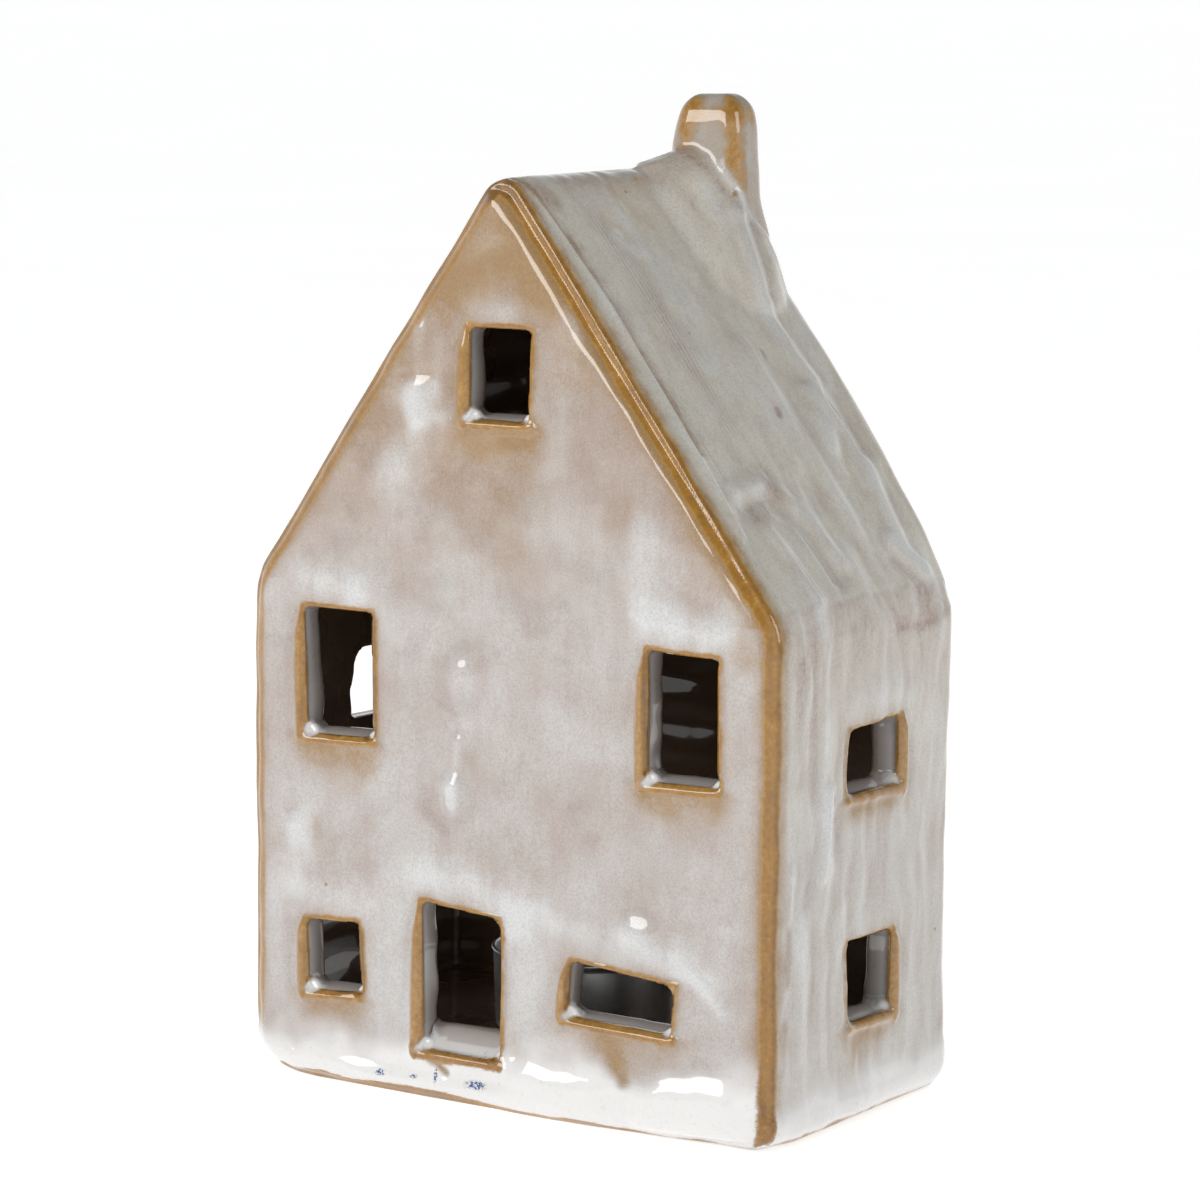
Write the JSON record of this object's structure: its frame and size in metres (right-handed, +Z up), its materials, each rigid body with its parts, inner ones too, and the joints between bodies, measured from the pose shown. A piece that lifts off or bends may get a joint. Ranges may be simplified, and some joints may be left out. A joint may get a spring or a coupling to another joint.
{
  "type": "tealight house",
  "caption": "Hand-built glazed ceramic house with cut windows, a steep roof and a closed chimney, which glows from a tealight set in through an arch at the back.",
  "frame": {"origin": "on the table, under the middle of the house", "axes": "+Z up; +X to the right seen from the front; +Y from the front gable to the back gable"},
  "size_m": [0.12, 0.0684, 0.191],
  "materials": {
    "glazed_clay": "very glossy runny white glaze over brown clay, thin and amber on every edge, pooled white at the foot and in hollows",
    "cup_metal": "thin pressed foil, satin",
    "candle_wax": "smooth white wax",
    "sustainer_metal": "thin tinned plate",
    "wick_cotton": "braided cotton, waxed"
  },
  "bodies": {
    "house": {"floor_slab": "glazed_clay", "front_gable": "glazed_clay", "back_gable": "glazed_clay", "left_wall": "glazed_clay", "right_wall": "glazed_clay", "left_roof": "glazed_clay", "right_roof": "glazed_clay", "chimney": "glazed_clay"},
    "tealight": {"tealight_cup": "cup_metal", "tealight_wax": "candle_wax", "wick_sustainer": "sustainer_metal", "wick": "wick_cotton"}
  },
  "joints": [
    {"name": "tealight_slide", "type": "slide", "parent": "house", "child": "tealight", "axis": [0, 1, 0], "range_m": [0, 0.06]}
  ]
}
